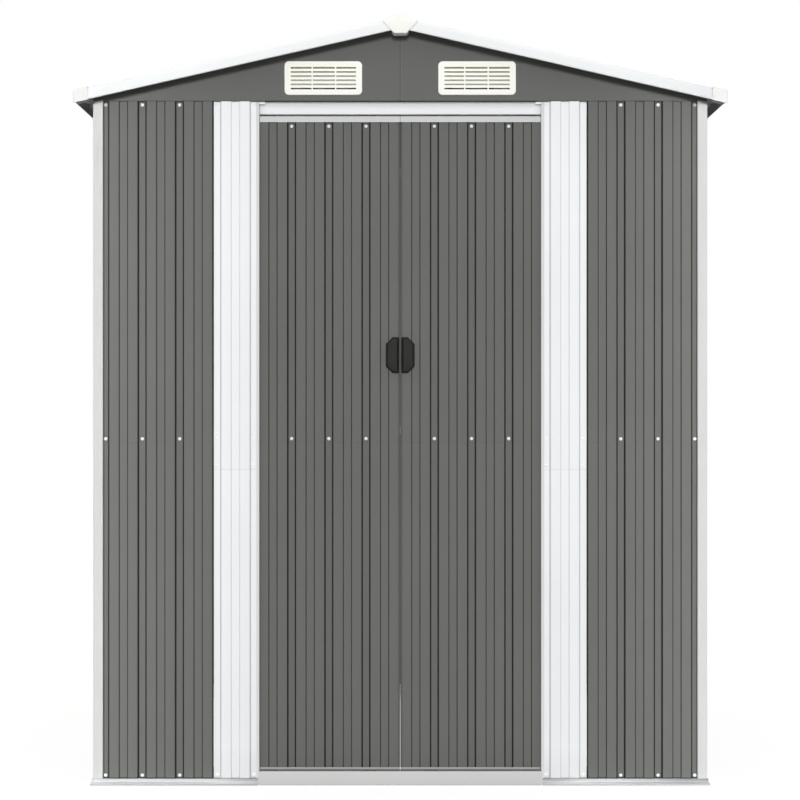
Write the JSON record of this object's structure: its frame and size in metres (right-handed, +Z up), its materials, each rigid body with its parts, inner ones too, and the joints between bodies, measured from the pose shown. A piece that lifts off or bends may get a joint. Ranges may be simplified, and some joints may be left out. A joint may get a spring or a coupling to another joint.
{
  "type": "metal storage shed",
  "caption": "Garden shed of ribbed painted steel sheet with a low gable roof, corner posts, gable vents and a pair of hung sliding doors in the front.",
  "frame": {"origin": "middle of the base at ground level", "axes": "+Z up, the doors face -Y, +X to the right seen from the front"},
  "size_m": [1.906, 2.018, 2.2531],
  "materials": {
    "grey_painted_steel": "satin",
    "white_painted_steel": "satin",
    "light_grey_painted_steel": "satin",
    "galvanised_steel": "dull",
    "off_white_plastic": "matte",
    "black_plastic": "matte",
    "runner_plastic": "matte"
  },
  "bodies": {
    "shed": {"front_base_rail": "white_painted_steel", "left_base_rail": "white_painted_steel", "right_base_rail": "white_painted_steel", "rear_base_rail": "white_painted_steel", "door_sill": "light_grey_painted_steel", "door_floor_track": "galvanised_steel", "front_corner_posts": "light_grey_painted_steel", "rear_corner_posts": "light_grey_painted_steel", "front_panels_lower": "grey_painted_steel", "front_panels_upper": "grey_painted_steel", "jamb_panels_lower": "white_painted_steel", "jamb_panels_upper": "white_painted_steel", "door_jambs": "white_painted_steel", "left_wall_lower": "grey_painted_steel", "left_wall_upper": "grey_painted_steel", "right_wall_lower": "grey_painted_steel", "right_wall_upper": "grey_painted_steel", "rear_wall_lower": "grey_painted_steel", "rear_wall_upper": "grey_painted_steel", "door_header_track": "white_painted_steel", "side_top_rails": "galvanised_steel", "rear_top_rail": "galvanised_steel", "wall_mid_rails": "galvanised_steel", "front_gables": "grey_painted_steel", "rear_gables": "grey_painted_steel", "front_vents": "off_white_plastic", "rear_vents": "off_white_plastic", "left_roof_sheet": "grey_painted_steel", "right_roof_sheet": "grey_painted_steel", "roof_purlins": "galvanised_steel", "ridge_cap": "grey_painted_steel", "ridge_end_caps": "off_white_plastic", "front_verge_trims": "white_painted_steel", "rear_verge_trims": "white_painted_steel", "eave_trims": "white_painted_steel", "roof_corner_caps": "off_white_plastic"},
    "left_door": {"left_door_panels": "grey_painted_steel", "left_door_rails": "light_grey_painted_steel", "left_door_handle": "black_plastic", "left_door_runners": "runner_plastic"},
    "right_door": {"right_door_panels": "grey_painted_steel", "right_door_rails": "light_grey_painted_steel", "right_door_handle": "black_plastic", "right_door_runners": "runner_plastic"}
  },
  "joints": [
    {"name": "left_door_slide", "type": "slide", "parent": "shed", "child": "left_door", "axis": [-1, 0, 0], "range_m": [0, 0.365]},
    {"name": "right_door_slide", "type": "slide", "parent": "shed", "child": "right_door", "axis": [1, 0, 0], "range_m": [0, 0.365]}
  ]
}
